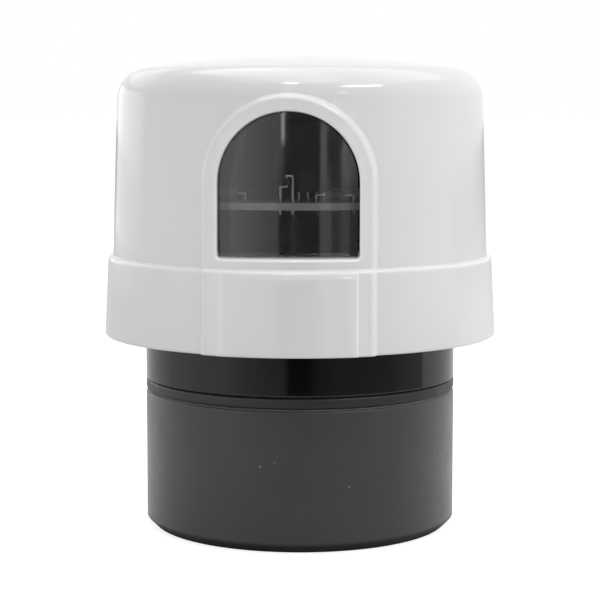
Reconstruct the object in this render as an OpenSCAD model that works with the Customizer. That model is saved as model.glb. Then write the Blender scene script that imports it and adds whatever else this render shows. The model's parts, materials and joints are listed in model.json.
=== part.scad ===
// Twist-lock photocell switch: a light-sensing photocontrol seated in its receptacle.
// Millimetres, Z up. The origin is the centre of the wire outlet on the receptacle's underside,
// and the window faces -Y. The photocontrol is drawn turned home, with its blades locked.

/* [Cover] */
// Diameter of the skirt at its lower edge
cover_d = 84; // [80:1:90]
// Height of the skirt
skirt_h = 16.9; // [15:0.1:20]
// Draft of the skirt's wall in degrees
skirt_draft = 3; // [1:0.5:4]
// Width of the ledge between the skirt and the dome
ledge_w = 1; // [0.6:0.1:1.6]
// Height of the dome above the ledge
dome_h = 42.1; // [39:0.1:48]
// Draft of the dome's wall in degrees
dome_draft = 2; // [1:0.25:3]
// Radius of the dome's upper edge
dome_edge_r = 6.5; // [4:0.5:8]
// Rise of the dome's crowned top
dome_crown = 2.3; // [1:0.1:4]
// Wall thickness of the cover
cover_wall = 2.2; // [1.6:0.1:2.8]
// Number of ribs inside the skirt
skirt_ribs = 12; // [6:1:18]

/* [Window] */
// Width of the window opening
window_w = 27.8; // [22:0.1:30]
// Height of the window opening
window_h = 28.5; // [24:0.1:30]
// Height of the window sill's outer edge above the ledge
sill_h = 2.1; // [1.5:0.1:3.5]
// Outward slope of the sill in degrees
sill_slope = 12; // [0:1:20]
// Width of the raised frame around the window
frame_border = 3.3; // [2:0.1:4]
// Height of the frame above the cover's wall
frame_proud = 1.2; // [0.6:0.1:2]
// Height of the panel below the window above the frame
panel_proud = 0.4; // [0.2:0.1:0.8]
// Thickness of the lens
lens_t = 1.6; // [1.2:0.1:2.4]
// Overlap of the lens behind the edge of the opening
lens_lap = 1.4; // [1:0.1:2]

/* [Plug base] */
// Diameter of the plug base's neck
base_d = 66.5; // [62:0.5:68]
// Height of the neck that shows below the skirt
neck_h = 9.4; // [8:0.1:14]
// Wall thickness of the plug base
base_wall = 2.2; // [1.8:0.1:3]
// Thickness of the plug base's floor
base_floor = 3; // [2.4:0.1:4]
// Thickness of the flange that the cover snaps over
flange_t = 2.4; // [1.8:0.1:3.2]
// Diameter of the posts that carry the circuit board
post_d = 6.4; // [5.5:0.1:7]

/* [Gasket] */
// Thickness of the gasket
gasket_t = 2.3; // [1.5:0.1:4]
// Width of the gasket ring
gasket_w = 7.5; // [5:0.1:9]

/* [Twist lock] */
// Diameter of the circle through the middle of the blades
blade_circle_d = 27; // [25:0.5:30]
// Thickness of the blades
blade_t = 1.5; // [1.2:0.1:1.8]
// Length of the blades below the plug base
blade_len = 16; // [14:0.5:18]
// Width of the line and load blades along their arc
live_blade_w = 6.5; // [5:0.1:7.5]
// Width of the neutral blade along its arc
neutral_blade_w = 8.5; // [7:0.1:9.5]
// Height of the hook at the end of each blade
hook_h = 5; // [4:0.1:6]
// Angle that the photocontrol turns through to unlock
twist_deg = 17; // [12:1:20]

/* [Receptacle] */
// Height of the receptacle
receptacle_h = 29.1; // [28:0.1:36]
// Wall thickness of the receptacle
receptacle_wall = 3; // [2.4:0.1:3.6]
// Thickness of the slotted face
face_t = 4; // [3:0.1:5]
// Chamfer round the receptacle's foot
foot_chamfer = 1.7; // [1:0.1:2.2]
// Thickness of the bottom plate
bottom_t = 3; // [2.6:0.1:3.6]
// Diameter of the wire outlet
outlet_d = 11; // [8:0.5:13]
// Spacing of the two mounting inserts
mount_pitch = 41; // [38:0.5:44]
// Tapping bore of a mounting insert, for an M4 screw
insert_bore_d = 3.3; // [2.5:0.1:4.2]
// Thickness of the contact strip
contact_t = 0.6; // [0.4:0.1:0.8]

/* [Circuit board] */
// Height of the circuit board above the plug base's underside
board_level = 37.5; // [34:0.1:40]
// Thickness of the circuit board
board_t = 1.4; // [1.2:0.1:2]

/* [Hidden] */
$fn = 64;

// Clearances between pieces
fit_gap = 0.05;     // a piece pressed or screwed into its hole
slip_gap = 0.2;     // a piece that slips or snaps into its seat
turn_gap = 0.3;     // pieces that turn past each other
past = 1;           // how far a cut runs past the face it opens

// Levels, from the receptacle's foot up
z_face = receptacle_h - face_t;
z_gasket = receptacle_h + turn_gap;
z_base = z_gasket + gasket_t;
z_floor = z_base + base_floor;
z_skirt = z_base + neck_h;
z_ledge = z_skirt + skirt_h;
z_top = z_ledge + dome_h;
z_sill = z_ledge + sill_h;
z_arch = z_sill + window_h - window_w / 2;
z_board = z_base + board_level;
z_parts = z_board + board_t;

// Cover: radii of its drafted walls, and the arc that joins the dome's wall to its crown
function skirt_r(z) = cover_d / 2 - (z - z_skirt) * tan(skirt_draft);
function dome_r(z) = skirt_r(z_ledge) - ledge_w - (z - z_ledge) * tan(dome_draft);
function skirt_bore_r(z) = skirt_r(z) - cover_wall;
function dome_bore_r(z) = dome_r(z) - cover_wall / cos(dome_draft);
crown_half = dome_r(z_top) - dome_edge_r;
crown_r = (pow(crown_half, 2) + pow(dome_crown, 2)) / (2 * dome_crown);
z_crown = z_top - crown_r;
edge_slope = tan(dome_draft);
edge_line = dome_r(0) - dome_edge_r / cos(dome_draft);
edge_reach = crown_r - dome_edge_r;
edge_b = edge_line * edge_slope + z_crown;
edge_c = pow(edge_line, 2) + pow(z_crown, 2) - pow(edge_reach, 2);
edge_a = 1 + pow(edge_slope, 2);
edge_z = (edge_b + sqrt(pow(edge_b, 2) - edge_a * edge_c)) / edge_a;
edge_at = [edge_line - edge_z * edge_slope, edge_z];
edge_out = (edge_at - [0, z_crown]) / edge_reach;
skirt_top_round = 0.8;
skirt_foot_round = 0.5;

// Snap bead inside the skirt, and the flange that rests on it
flange_recess = 2.2;
bead_h = 0.7;
bead_w = 1.4;
z_flange = z_skirt + flange_recess;
flange_r = skirt_bore_r(z_flange + flange_t) - slip_gap;
rib_t = 1.4;

// Lens and its rails
lens_half = window_w / 2 + lens_lap;
lens_step = 2.4;
lens_gap = 0.15;
window_flare = 0.03;
rail_w = 1.8;
rail_lip = 1.3;
lens_back = slip_gap / 2 + lens_t;
rail_back = lens_back + slip_gap + rail_lip;

// Plug base
base_r = base_d / 2;
base_bore_r = base_r - base_wall;
neck_round = 0.45;
rim_top = z_sill - lens_lap - slip_gap;
rim_r = dome_bore_r(rim_top) - slip_gap;
boss_r = base_r - gasket_w - slip_gap;
post_gap = 0.6;
post_circle_r = base_bore_r - post_d / 2 - post_gap;
post_angles = [90, 210, 330];
gasket_round = 0.6;

// Circuit board and its screws
board_gap = 0.7;
board_r = dome_bore_r(z_board) - rail_back - board_gap;
board_front = -board_r;
screw_r = 1.3;
screw_len = 9;
screw_head_r = 2.6;
screw_head_h = 1.7;
head_taper = 0.8;
recess_share = 0.6;
recess_w = 0.7;
recess_depth = 0.9;

// Rows of components behind the board's front edge
sensor_row = 3.3;
zener_row = 5.4;
transistor_row = 10.2;
signal_rows = [9, 8.2];
bridge_row = 14.6;
filter_row = 17.6;

// Components on the board: places from its centre or its front edge, and sizes
lead_r = 0.3;
lead_len = 1.6;
axial_lift = 0.4;
solder_r = 0.85;
solder_tip_r = 0.4;
solder_h = 1.1;
sensor_at = [-0.75, board_front + sensor_row];
sensor_d = 1.6;
sensor_pitch = 2.4;
sensor_low = 3.1;
sensor_high = 5.2;
sensor_gap = 0.35;
sensor_eye_r = 0.5;
sensor_eye_proud = 0.25;
relay_at = [2, 4];
relay_size = [15.4, 19, 15.2];
relay_edge = 0.8;
relay_pitch = [12.2, 14];
film_at = [-14.5, -2];
film_size = [8, 18, 14.5];
film_pitch = 15;
filter_at = [11, board_front + filter_row];
filter_d = 8;
filter_h = 12.5;
filter_groove = 0.5;
filter_pitch = 3.5;
varistor_at = [17, -1];
varistor_d = 12;
varistor_t = 4.2;
varistor_lift = 1.5;
varistor_pitch = 7.5;
bridge_at = [-8, board_front + bridge_row];
bridge_size = [8.2, 6.2, 3];
bridge_pitch = [5, 5.1];
transistor_at = [3, board_front + transistor_row];
transistor_d = 4.6;
transistor_flat = 1.5;
transistor_h = 4.6;
transistor_lift = 1.8;
transistor_pitch = 1.8;
dropper_at = [0, 20];
dropper_d = 4.4;
dropper_len = 12;
zener_at = [8.5, board_front + zener_row];
zener_d = 1.9;
zener_len = 4;
signal_places = [[-14, board_front + signal_rows[0]], [11, board_front + signal_rows[1]], [14, 20]];
signal_d = 2.3;
signal_len = 6.2;
dropper = [dropper_at, dropper_d, dropper_len];
zener = [zener_at, zener_d, zener_len];
signals = [for (at = signal_places) [at, signal_d, signal_len]];

// Blades, their rivets and the wires up to the board
blade_r = blade_circle_d / 2;
blade_in = blade_r - blade_t / 2;
blade_out = blade_r + blade_t / 2;
z_tip = z_base - blade_len;
hook_lap_deg = 1;
hook_deg = twist_deg + hook_lap_deg;
slot_deg = turn_gap / blade_r * 180 / PI;
line_deg = 150;
load_deg = 30;
neutral_deg = 270;
foot_w = 6.4;
foot_len = 8.6;
rivet_r = 1.2;
rivet_head_r = 2.2;
rivet_head_h = 1;
rivet_gap = 3.2;
rivet_at = blade_out + rivet_gap;
wire_r = 1.1;
core_r = 0.5;
core_len = 3;
wire_inset = 1.5;
wire_at = blade_r + foot_len - wire_inset;

// Receptacle
receptacle_bore_r = base_r - receptacle_wall;
rim_round = 0.6;
bottom_r = receptacle_bore_r - fit_gap;
terminal_gap = 6.2;
terminal_at = blade_out + terminal_gap;
terminal_post_r = 3.4;
web_gap = 0.6;
z_web = z_tip - web_gap;
leaf_gap = 1;
leaf_top = z_face - leaf_gap;
leaf_flare = 0.8;
leaf_flare_h = 1.5;
leaf_past_deg = 2;
tail_w = 7.2;
tail_bend = 0.3;
terminal_screw_r = 1.5;
terminal_screw_len = 7;
terminal_head_r = 3;
terminal_head_h = 2;
bottom_boss_r = 3.6;
boss_gap = 0.9;
bottom_boss_at = receptacle_bore_r - bottom_boss_r - boss_gap;
bottom_boss_angles = [90, 210, 330];
bottom_screw_len = 12;
bottom_head_h = 1.8;
hub_wall = 2.4;
hub_h = 4;
insert_r = 3;
insert_len = 8;
insert_wall = 1.8;

// Board pins, each with the height of its upper end
function pin_row(at, pitch, n, top) =
    [for (i = [0:n - 1]) [at.x + (i - (n - 1) / 2) * pitch, at.y, top]];
function pin_pair_y(at, pitch, top) = [for (s = [-1, 1]) [at.x, at.y + s * pitch / 2, top]];
function pin_corners(at, dx, dy, top) =
    [for (sx = [-1, 1], sy = [-1, 1]) [at.x + sx * dx / 2, at.y + sy * dy / 2, top]];
function sensor_bend(s) = z_parts + (s < 0 ? sensor_low : sensor_high);
function axial_z(part) = z_parts + axial_lift + part[1] / 2;
function axial_pins(part) = pin_row(part[0], part[2] + 2 * lead_len, 2, axial_z(part));
axials = concat([dropper, zener], signals);
upright_pins = concat(
    [for (s = [-1, 1]) [sensor_at.x + s * sensor_pitch / 2, sensor_at.y, sensor_bend(s)]],
    pin_corners(relay_at, relay_pitch.x, relay_pitch.y, z_parts),
    pin_pair_y(film_at, film_pitch, z_parts),
    pin_row(filter_at, filter_pitch, 2, z_parts),
    pin_pair_y(varistor_at, varistor_pitch, z_parts + varistor_lift),
    pin_corners(bridge_at, bridge_pitch.x, bridge_pitch.y, z_parts),
    pin_row(transistor_at, transistor_pitch, 3, z_parts + transistor_lift)
);
board_pins = concat(upright_pins, [for (part = axials) each axial_pins(part)]);

// Angle in degrees of an arc along the blade circle
function blade_deg(w) = w / blade_r * 180 / PI;
// Points of a round from angle a0 to a1 about a centre
function round_pts(c, r, a0, a1, n = 6) =
    [for (i = [0:n]) c + r * [cos(a0 + (a1 - a0) * i / n), sin(a0 + (a1 - a0) * i / n)]];

// A block bent round the axis: from r0 to r1, from angle a0 to a1, from z0 to z1
module bent_block(r0, r1, a0, a1, z0, z1) {
    rotate([0, 0, a0])
        rotate_extrude(angle = a1 - a0)
            translate([r0, z0])
                square([r1 - r0, z1 - z0]);
}

// A wall with an arched top, facing -Y, from the axis outwards
module arch_wall(half_w, z_foot, z_spring) {
    rotate([90, 0, 0])
        linear_extrude(height = cover_d) {
            translate([-half_w, z_foot])
                square([2 * half_w, z_spring - z_foot]);
            intersection() {
                translate([0, z_spring])
                    circle(half_w);
                translate([-half_w, z_spring])
                    square([2 * half_w, half_w + past]);
            }
        }
}

// The dome's outline moved inwards by inset, from the axis, standing on z_foot
module dome_profile(inset, z_foot) {
    r = dome_edge_r - inset;
    wall_pt = edge_at + r * [cos(dome_draft), sin(dome_draft)];
    crown_pt = edge_at + r * edge_out;
    polygon([
        [0, z_foot], [dome_r(z_foot) - inset / cos(dome_draft), z_foot],
        wall_pt, edge_at, crown_pt, [0, crown_pt.y]
    ]);
    intersection() {
        translate(edge_at)
            circle(r);
        polygon([edge_at, wall_pt, wall_pt + [0, r], crown_pt + [0, r], crown_pt]);
    }
    intersection() {
        translate([0, z_crown])
            circle(crown_r - inset);
        translate([0, crown_pt.y])
            square([crown_pt.x, 2 * dome_crown + past]);
    }
}

// The skirt's outline moved outwards by proud
module skirt_profile(proud) {
    polygon(concat(
        [[0, z_skirt]],
        round_pts([skirt_r(z_skirt) + proud - skirt_foot_round, z_skirt + skirt_foot_round],
                  skirt_foot_round, -90, 0),
        round_pts([skirt_r(z_ledge) + proud - skirt_top_round, z_ledge - skirt_top_round],
                  skirt_top_round, 0, 90),
        [[0, z_ledge]]
    ));
}

// The cover's outside, raised by proud
module cover_outside(proud) {
    rotate_extrude() {
        skirt_profile(proud);
        dome_profile(-proud, z_ledge - skirt_top_round);
    }
}

// The space inside the cover, with the snap bead left standing below the flange
module cover_cavity() {
    z_bead = z_flange - slip_gap / 2;
    z_step = z_ledge - cover_wall;
    rotate_extrude() {
        polygon([
            [0, z_skirt - past],
            [skirt_bore_r(z_skirt - past), z_skirt - past],
            [skirt_bore_r(z_bead - bead_w), z_bead - bead_w],
            [skirt_bore_r(z_bead) - bead_h, z_bead - bead_w / 2],
            [skirt_bore_r(z_bead) - bead_h, z_bead],
            [skirt_bore_r(z_bead), z_bead],
            [skirt_bore_r(z_step), z_step],
            [0, z_step]
        ]);
        dome_profile(cover_wall, z_step - past);
    }
}

// Half the window's width at a distance in front of the axis
function window_half(y) = window_w / 2 + (y - dome_r(z_arch) - frame_proud) * window_flare;

// Height of the sloping sill at a radius
function sill_z(r) = z_sill + (dome_r(z_sill) + frame_proud + panel_proud - r) * tan(sill_slope);

// Everything that lies higher than gap above the sloping sill
module above_sill(gap) {
    rotate_extrude()
        polygon([[0, sill_z(0) + gap], [cover_d, sill_z(cover_d) + gap], [cover_d, z_top], [0, z_top]]);
}

// The window opening, wider outside than inside, so that it draws from the mould
module window_cut() {
    near = dome_bore_r(z_arch) - 2 * cover_wall;
    far = cover_d / 2 + 2 * frame_proud;
    near_half = window_half(near);
    far_half = window_half(far);
    translate([0, -near, z_arch])
        rotate([90, 0, 0])
            cylinder(h = far - near, r1 = near_half, r2 = far_half);
    intersection() {
        translate([0, 0, z_sill - past])
            linear_extrude(height = z_arch - z_sill + past)
                polygon([[-near_half, -near], [near_half, -near], [far_half, -far], [-far_half, -far]]);
        above_sill(0);
    }
}

// Two upright rails that hold the lens against the inside of the wall
module lens_rails() {
    rail_foot = rim_top + slip_gap;
    difference() {
        intersection() {
            for (side = [-1, 1])
                translate([side * (lens_half + rail_w / 2 - slip_gap) - rail_w, -cover_d / 2, rail_foot])
                    cube([2 * rail_w, cover_d / 2, z_arch - rail_foot]);
            difference() {
                rotate_extrude()
                    dome_profile(cover_wall / 2, rail_foot);
                rotate_extrude()
                    dome_profile(cover_wall + rail_back, rail_foot - past);
            }
        }
        intersection() {
            rotate_extrude()
                dome_profile(cover_wall / 2, rail_foot - past);
            translate([-lens_half - slip_gap, -cover_d / 2, rail_foot - past])
                cube([2 * (lens_half + slip_gap), cover_d, dome_h]);
            difference() {
                cylinder(r = cover_d, h = 2 * z_top);
                rotate_extrude()
                    dome_profile(cover_wall + lens_back + slip_gap, rail_foot - 2 * past);
            }
        }
    }
}

module cover() {
    z_stop = z_flange + flange_t + slip_gap;
    color("whitesmoke") {
        difference() {
            union() {
                cover_outside(0);
                intersection() {
                    arch_wall(window_w / 2 + frame_border, z_skirt, z_arch);
                    cover_outside(frame_proud);
                }
                intersection() {
                    translate([-window_w / 2, -cover_d, z_skirt])
                        cube([window_w, cover_d, z_sill - z_skirt]);
                    cover_outside(frame_proud + panel_proud);
                }
            }
            cover_cavity();
            window_cut();
        }
        lens_rails();
        for (i = [0:skirt_ribs - 1])
            rotate([0, 0, (i + 0.5) * 360 / skirt_ribs])
                translate([rim_r + slip_gap, -rib_t / 2, z_stop])
                    cube([skirt_bore_r(z_stop) + cover_wall / 3 - rim_r - slip_gap, rib_t,
                          z_ledge - cover_wall / 2 - z_stop]);
    }
}

module window_lens() {
    step_y = sqrt(pow(dome_bore_r(z_arch), 2) - pow(window_w / 2, 2));
    inner_half = window_half(step_y) - lens_gap;
    color("dimgray") {
        difference() {
            intersection() {
                arch_wall(lens_half, z_sill - lens_lap, z_arch);
                rotate_extrude()
                    dome_profile(cover_wall + slip_gap / 2, z_ledge);
            }
            rotate_extrude()
                dome_profile(cover_wall + lens_back, z_ledge - past);
        }
        difference() {
            intersection() {
                arch_wall(inner_half, z_sill, z_arch);
                rotate_extrude()
                    dome_profile(cover_wall - lens_step, z_ledge);
                above_sill(slip_gap);
            }
            rotate_extrude()
                dome_profile(cover_wall + lens_back / 2, z_ledge - past);
        }
    }
}

// Outline of the plug base's shell: boss, floor, neck, flange and rim
module plug_base_profile() {
    z_boss = receptacle_h + turn_gap;
    z_flange_top = z_flange + flange_t;
    polygon(concat(
        [[0, z_boss], [boss_r, z_boss], [boss_r, z_base]],
        round_pts([base_r - neck_round, z_base + neck_round], neck_round, -90, 0),
        [[base_r, z_flange], [flange_r, z_flange], [flange_r, z_flange_top],
         [rim_r, z_flange_top], [rim_r, rim_top], [rim_r - base_wall, rim_top],
         [rim_r - base_wall, z_flange_top], [base_bore_r, z_flange_top],
         [base_bore_r, z_floor], [0, z_floor]]
    ));
}

module plug_base() {
    color("#1c1c1c")
        difference() {
            union() {
                rotate_extrude()
                    plug_base_profile();
                for (a = post_angles)
                    rotate([0, 0, a])
                        translate([post_circle_r, 0, z_floor - past]) {
                            cylinder(d = post_d, h = z_board - z_floor + past);
                            translate([0, -rib_t / 2, 0])
                                cube([base_bore_r + base_wall / 2 - post_circle_r, rib_t,
                                      z_flange - z_floor + past]);
                        }
            }
            for (a = post_angles)
                rotate([0, 0, a])
                    translate([post_circle_r, 0, z_board - screw_len - past])
                        cylinder(r = screw_r + fit_gap, h = screw_len + 2 * past);
            for (b = blades()) {
                half = blade_deg(b[1]) / 2 + fit_gap / blade_r * 180 / PI;
                bent_block(blade_in - fit_gap, blade_out + fit_gap, b[0] - half, b[0] + half,
                           z_gasket - past, z_floor + past);
                rotate([0, 0, b[0]])
                    translate([rivet_at, 0, z_gasket - past]) {
                        cylinder(r = rivet_r + fit_gap, h = z_floor - z_gasket + 2 * past);
                        cylinder(r = rivet_head_r + slip_gap, h = past + rivet_head_h + slip_gap);
                    }
            }
        }
}

module gasket() {
    color("#262626")
        rotate_extrude()
            polygon(concat(
                round_pts([base_r - gasket_round, z_gasket + gasket_round], gasket_round, -90, 0),
                round_pts([base_r - gasket_round, z_base - gasket_round], gasket_round, 0, 90),
                [[base_r - gasket_w, z_base], [base_r - gasket_w, z_gasket]]
            ));
}

// The three blades: angle of the stem's middle, and width along the arc
function blades() = [
    [line_deg, live_blade_w], [load_deg, live_blade_w], [neutral_deg, neutral_blade_w]
];

// A stamped blade: a stem through the base's floor, a hook at its end and a riveted foot inside
module blade(at, w) {
    half = blade_deg(w) / 2;
    color("goldenrod")
        difference() {
            union() {
                bent_block(blade_in, blade_out, at - half - hook_deg, at + half, z_tip, z_floor + blade_t);
                rotate([0, 0, at])
                    translate([blade_r, -foot_w / 2, z_floor])
                        cube([foot_len, foot_w, blade_t]);
            }
            bent_block(blade_in - past, blade_out + past, at - half - 2 * hook_deg, at - half,
                       z_tip + hook_h, z_floor + blade_t + past);
            rotate([0, 0, at])
                translate([rivet_at, 0, z_floor - past])
                    cylinder(r = rivet_r + fit_gap, h = blade_t + 2 * past);
        }
}

module line_blade() { blade(line_deg, live_blade_w); }
module load_blade() { blade(load_deg, live_blade_w); }
module neutral_blade() { blade(neutral_deg, neutral_blade_w); }

module blade_rivets() {
    z_low = z_gasket + slip_gap;
    color("tan")
        for (b = blades())
            rotate([0, 0, b[0]])
                translate([rivet_at, 0, 0])
                    rotate_extrude()
                        polygon([
                            [0, z_low], [rivet_head_r, z_low], [rivet_head_r, z_low + rivet_head_h],
                            [rivet_r, z_low + rivet_head_h], [rivet_r, z_floor + blade_t],
                            [rivet_head_r, z_floor + blade_t],
                            [rivet_r, z_floor + blade_t + rivet_head_h],
                            [0, z_floor + blade_t + rivet_head_h]
                        ]);
}

// A jumper from a blade's foot up through the board, bare at both ends
module wire(at, shade) {
    z_tag = z_floor + blade_t + solder_h;
    color(shade)
        rotate([0, 0, at])
            translate([wire_at, 0, 0]) {
                translate([0, 0, z_tag])
                    cylinder(r = core_r, h = z_parts - z_tag);
                translate([0, 0, z_tag + core_len])
                    cylinder(r = wire_r, h = z_board - z_tag - 2 * core_len);
            }
}

module line_wire() { wire(line_deg, "#202020"); }
module load_wire() { wire(load_deg, "#5a2320"); }
module neutral_wire() { wire(neutral_deg, "#8f8f8c"); }

module circuit_board() {
    color("#8a7f62")
        difference() {
            translate([0, 0, z_board])
                cylinder(r = board_r, h = board_t, $fn = 128);
            for (p = board_pins)
                translate([p.x, p.y, z_board - past])
                    cylinder(r = lead_r + fit_gap, h = board_t + 2 * past);
            for (b = blades())
                rotate([0, 0, b[0]])
                    translate([wire_at, 0, z_board - past])
                        cylinder(r = core_r + fit_gap, h = board_t + 2 * past);
            for (a = post_angles)
                rotate([0, 0, a])
                    translate([post_circle_r, 0, z_board - past])
                        cylinder(r = screw_r + slip_gap, h = board_t + 2 * past);
        }
}

// A screw standing on its head's seat at z = 0, its shank below and a cross recess on top
module screw(shank_r, shank_len, head_r, head_h) {
    difference() {
        union() {
            translate([0, 0, -shank_len])
                cylinder(r = shank_r, h = shank_len + head_h / 2);
            cylinder(r1 = head_r, r2 = head_r * head_taper, h = head_h);
        }
        for (a = [0, 90])
            rotate([0, 0, a])
                translate([-head_r * recess_share, -recess_w / 2, head_h - recess_depth])
                    cube([2 * head_r * recess_share, recess_w, recess_depth + past]);
    }
}

module board_screws() {
    color("silver")
        for (a = post_angles)
            rotate([0, 0, a])
                translate([post_circle_r, 0, z_parts])
                    screw(screw_r, screw_len, screw_head_r, screw_head_h);
}

// The sensor's barrel, standing between the bends of its two legs, with its eye towards the window
module light_sensor() {
    barrel_h = sensor_high - sensor_low - 2 * sensor_gap;
    color("#2b2622")
        translate([sensor_at.x, sensor_at.y, sensor_bend(-1) + sensor_gap]) {
            cylinder(d = sensor_d, h = barrel_h);
            translate([0, 0, barrel_h / 2])
                rotate([90, 0, 0])
                    cylinder(r = sensor_eye_r, h = sensor_d / 2 + sensor_eye_proud);
        }
}

// A block with its upright edges rounded, standing on the board
module rounded_block(size, r) {
    linear_extrude(height = size.z) {
        square([size.x - 2 * r, size.y], center = true);
        square([size.x, size.y - 2 * r], center = true);
        for (sx = [-1, 1], sy = [-1, 1])
            translate([sx * (size.x / 2 - r), sy * (size.y / 2 - r)])
                circle(r);
    }
}

module relay() {
    color("#1d1f22")
        translate([relay_at.x, relay_at.y, z_parts])
            rounded_block(relay_size, relay_edge);
}

module film_capacitor() {
    color("#a8a49a")
        translate([film_at.x, film_at.y, z_parts])
            rounded_block(film_size, relay_edge);
}

// A can with its rolled groove near the foot
module filter_capacitor() {
    r = filter_d / 2;
    color("#23252b")
        translate([filter_at.x, filter_at.y, z_parts])
            difference() {
                cylinder(r = r, h = filter_h);
                translate([0, 0, 4 * filter_groove])
                    rotate_extrude()
                        translate([r, 0])
                            circle(filter_groove);
            }
}

// A dipped disc standing on edge, its lower part flattened over the leads
module surge_varistor() {
    color("#3a4452")
        translate([varistor_at.x, varistor_at.y, z_parts + varistor_lift])
            intersection() {
                translate([-varistor_t / 2, 0, varistor_d / 2 - varistor_lift / 2])
                    rotate([0, 90, 0])
                        cylinder(d = varistor_d, h = varistor_t);
                translate([-varistor_d, -varistor_d, 0])
                    cube(2 * varistor_d);
            }
}

module bridge_rectifier() {
    color("#1a1a1a")
        translate([bridge_at.x - bridge_size.x / 2, bridge_at.y - bridge_size.y / 2, z_parts])
            cube(bridge_size);
}

module switching_transistor() {
    color("#1a1a1a")
        translate([transistor_at.x, transistor_at.y, z_parts + transistor_lift])
            intersection() {
                cylinder(d = transistor_d, h = transistor_h);
                translate([-transistor_d, -transistor_flat, 0])
                    cube(2 * transistor_d);
            }
}

// A part lying along X between its two bent leads
module axial_body(part) {
    translate([part[0].x - part[2] / 2, part[0].y, axial_z(part)])
        rotate([0, 90, 0])
            cylinder(d = part[1], h = part[2]);
}

module dropper_resistor() { color("#7d8a92") axial_body(dropper); }
module zener_diode() { color("#8c5a3c") axial_body(zener); }
module signal_resistors() {
    color("#b09a78")
        for (part = signals)
            axial_body(part);
}

module component_leads() {
    color("silver") {
        for (p = upright_pins)
            translate([p.x, p.y, z_board])
                cylinder(r = lead_r, h = p.z - z_board);
        for (s = [-1, 1])
            translate([sensor_at.x, sensor_at.y, sensor_bend(s)]) {
                translate([0, 0, -max(s, 0) * sensor_gap])
                    cylinder(r = lead_r, h = sensor_gap);
                sphere(lead_r);
                rotate([0, 90 * s, 0])
                    cylinder(r = lead_r, h = sensor_pitch / 2);
                translate([s * sensor_pitch / 2, 0, 0])
                    sphere(lead_r);
            }
        for (part = axials, s = [-1, 1])
            translate([part[0].x + s * part[2] / 2, part[0].y, axial_z(part)]) {
                rotate([0, 90 * s, 0])
                    cylinder(r = lead_r, h = lead_len);
                translate([s * lead_len, 0, 0])
                    sphere(lead_r);
                translate([s * lead_len, 0, z_board - axial_z(part)])
                    cylinder(r = lead_r, h = axial_z(part) - z_board);
            }
    }
}

// Solder below the board at each pin, and at both ends of each jumper
module solder_joints() {
    color("#b8b8b8") {
        for (p = board_pins)
            translate([p.x, p.y, z_board - solder_h])
                cylinder(r1 = solder_tip_r, r2 = solder_r, h = solder_h);
        for (b = blades(), z = [z_floor + blade_t, z_parts])
            rotate([0, 0, b[0]])
                translate([wire_at, 0, z])
                    cylinder(r1 = solder_r, r2 = core_r, h = solder_h);
    }
}

// Outline of the receptacle's cup, open below
module receptacle_profile() {
    polygon(concat(
        [[receptacle_bore_r, 0], [base_r - foot_chamfer, 0], [base_r, foot_chamfer]],
        round_pts([base_r - rim_round, receptacle_h - rim_round], rim_round, 0, 90),
        [[0, receptacle_h], [0, z_face], [receptacle_bore_r, z_face]]
    ));
}

module receptacle_body() {
    color("#4a4a4a")
        difference() {
            union() {
                rotate_extrude()
                    receptacle_profile();
                for (b = blades())
                    rotate([0, 0, b[0]])
                        translate([terminal_at, 0, z_web])
                            cylinder(r = terminal_post_r, h = z_face - z_web + past);
                for (a = bottom_boss_angles)
                    rotate([0, 0, a])
                        translate([bottom_boss_at, 0, bottom_t]) {
                            cylinder(r = bottom_boss_r, h = z_face - bottom_t + past);
                            translate([0, -rib_t / 2, 0])
                                cube([receptacle_bore_r + receptacle_wall / 2 - bottom_boss_at, rib_t,
                                      z_face - bottom_t + past]);
                        }
            }
            for (b = blades()) {
                half = blade_deg(b[1]) / 2 + slot_deg;
                bent_block(blade_in - turn_gap, blade_out + turn_gap,
                           b[0] - half - hook_lap_deg, b[0] + half + twist_deg, z_face - past,
                           receptacle_h + past);
                rotate([0, 0, b[0]])
                    translate([terminal_at, 0, z_web - past])
                        cylinder(r = terminal_screw_r + fit_gap, h = terminal_screw_len + past);
            }
            for (a = bottom_boss_angles)
                rotate([0, 0, a])
                    translate([bottom_boss_at, 0, bottom_t - past])
                        cylinder(r = screw_r + fit_gap, h = bottom_screw_len + past);
        }
}

module receptacle_bottom() {
    boss_h = insert_len + insert_wall;
    color("#3c3c3c")
        difference() {
            union() {
                cylinder(r = bottom_r, h = bottom_t);
                cylinder(r = outlet_d / 2 + hub_wall, h = bottom_t + hub_h);
                for (s = [-1, 1])
                    translate([s * mount_pitch / 2, 0, 0])
                        cylinder(r = insert_r + insert_wall, h = boss_h);
            }
            translate([0, 0, -past])
                cylinder(d = outlet_d, h = bottom_t + hub_h + 2 * past);
            for (s = [-1, 1])
                translate([s * mount_pitch / 2, 0, -past])
                    cylinder(r = insert_r + fit_gap, h = insert_len + past);
            for (a = bottom_boss_angles)
                rotate([0, 0, a])
                    translate([bottom_boss_at, 0, -past]) {
                        cylinder(r = screw_r + slip_gap, h = bottom_t + 2 * past);
                        cylinder(r = screw_head_r + slip_gap, h = bottom_head_h + past);
                    }
        }
}

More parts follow.
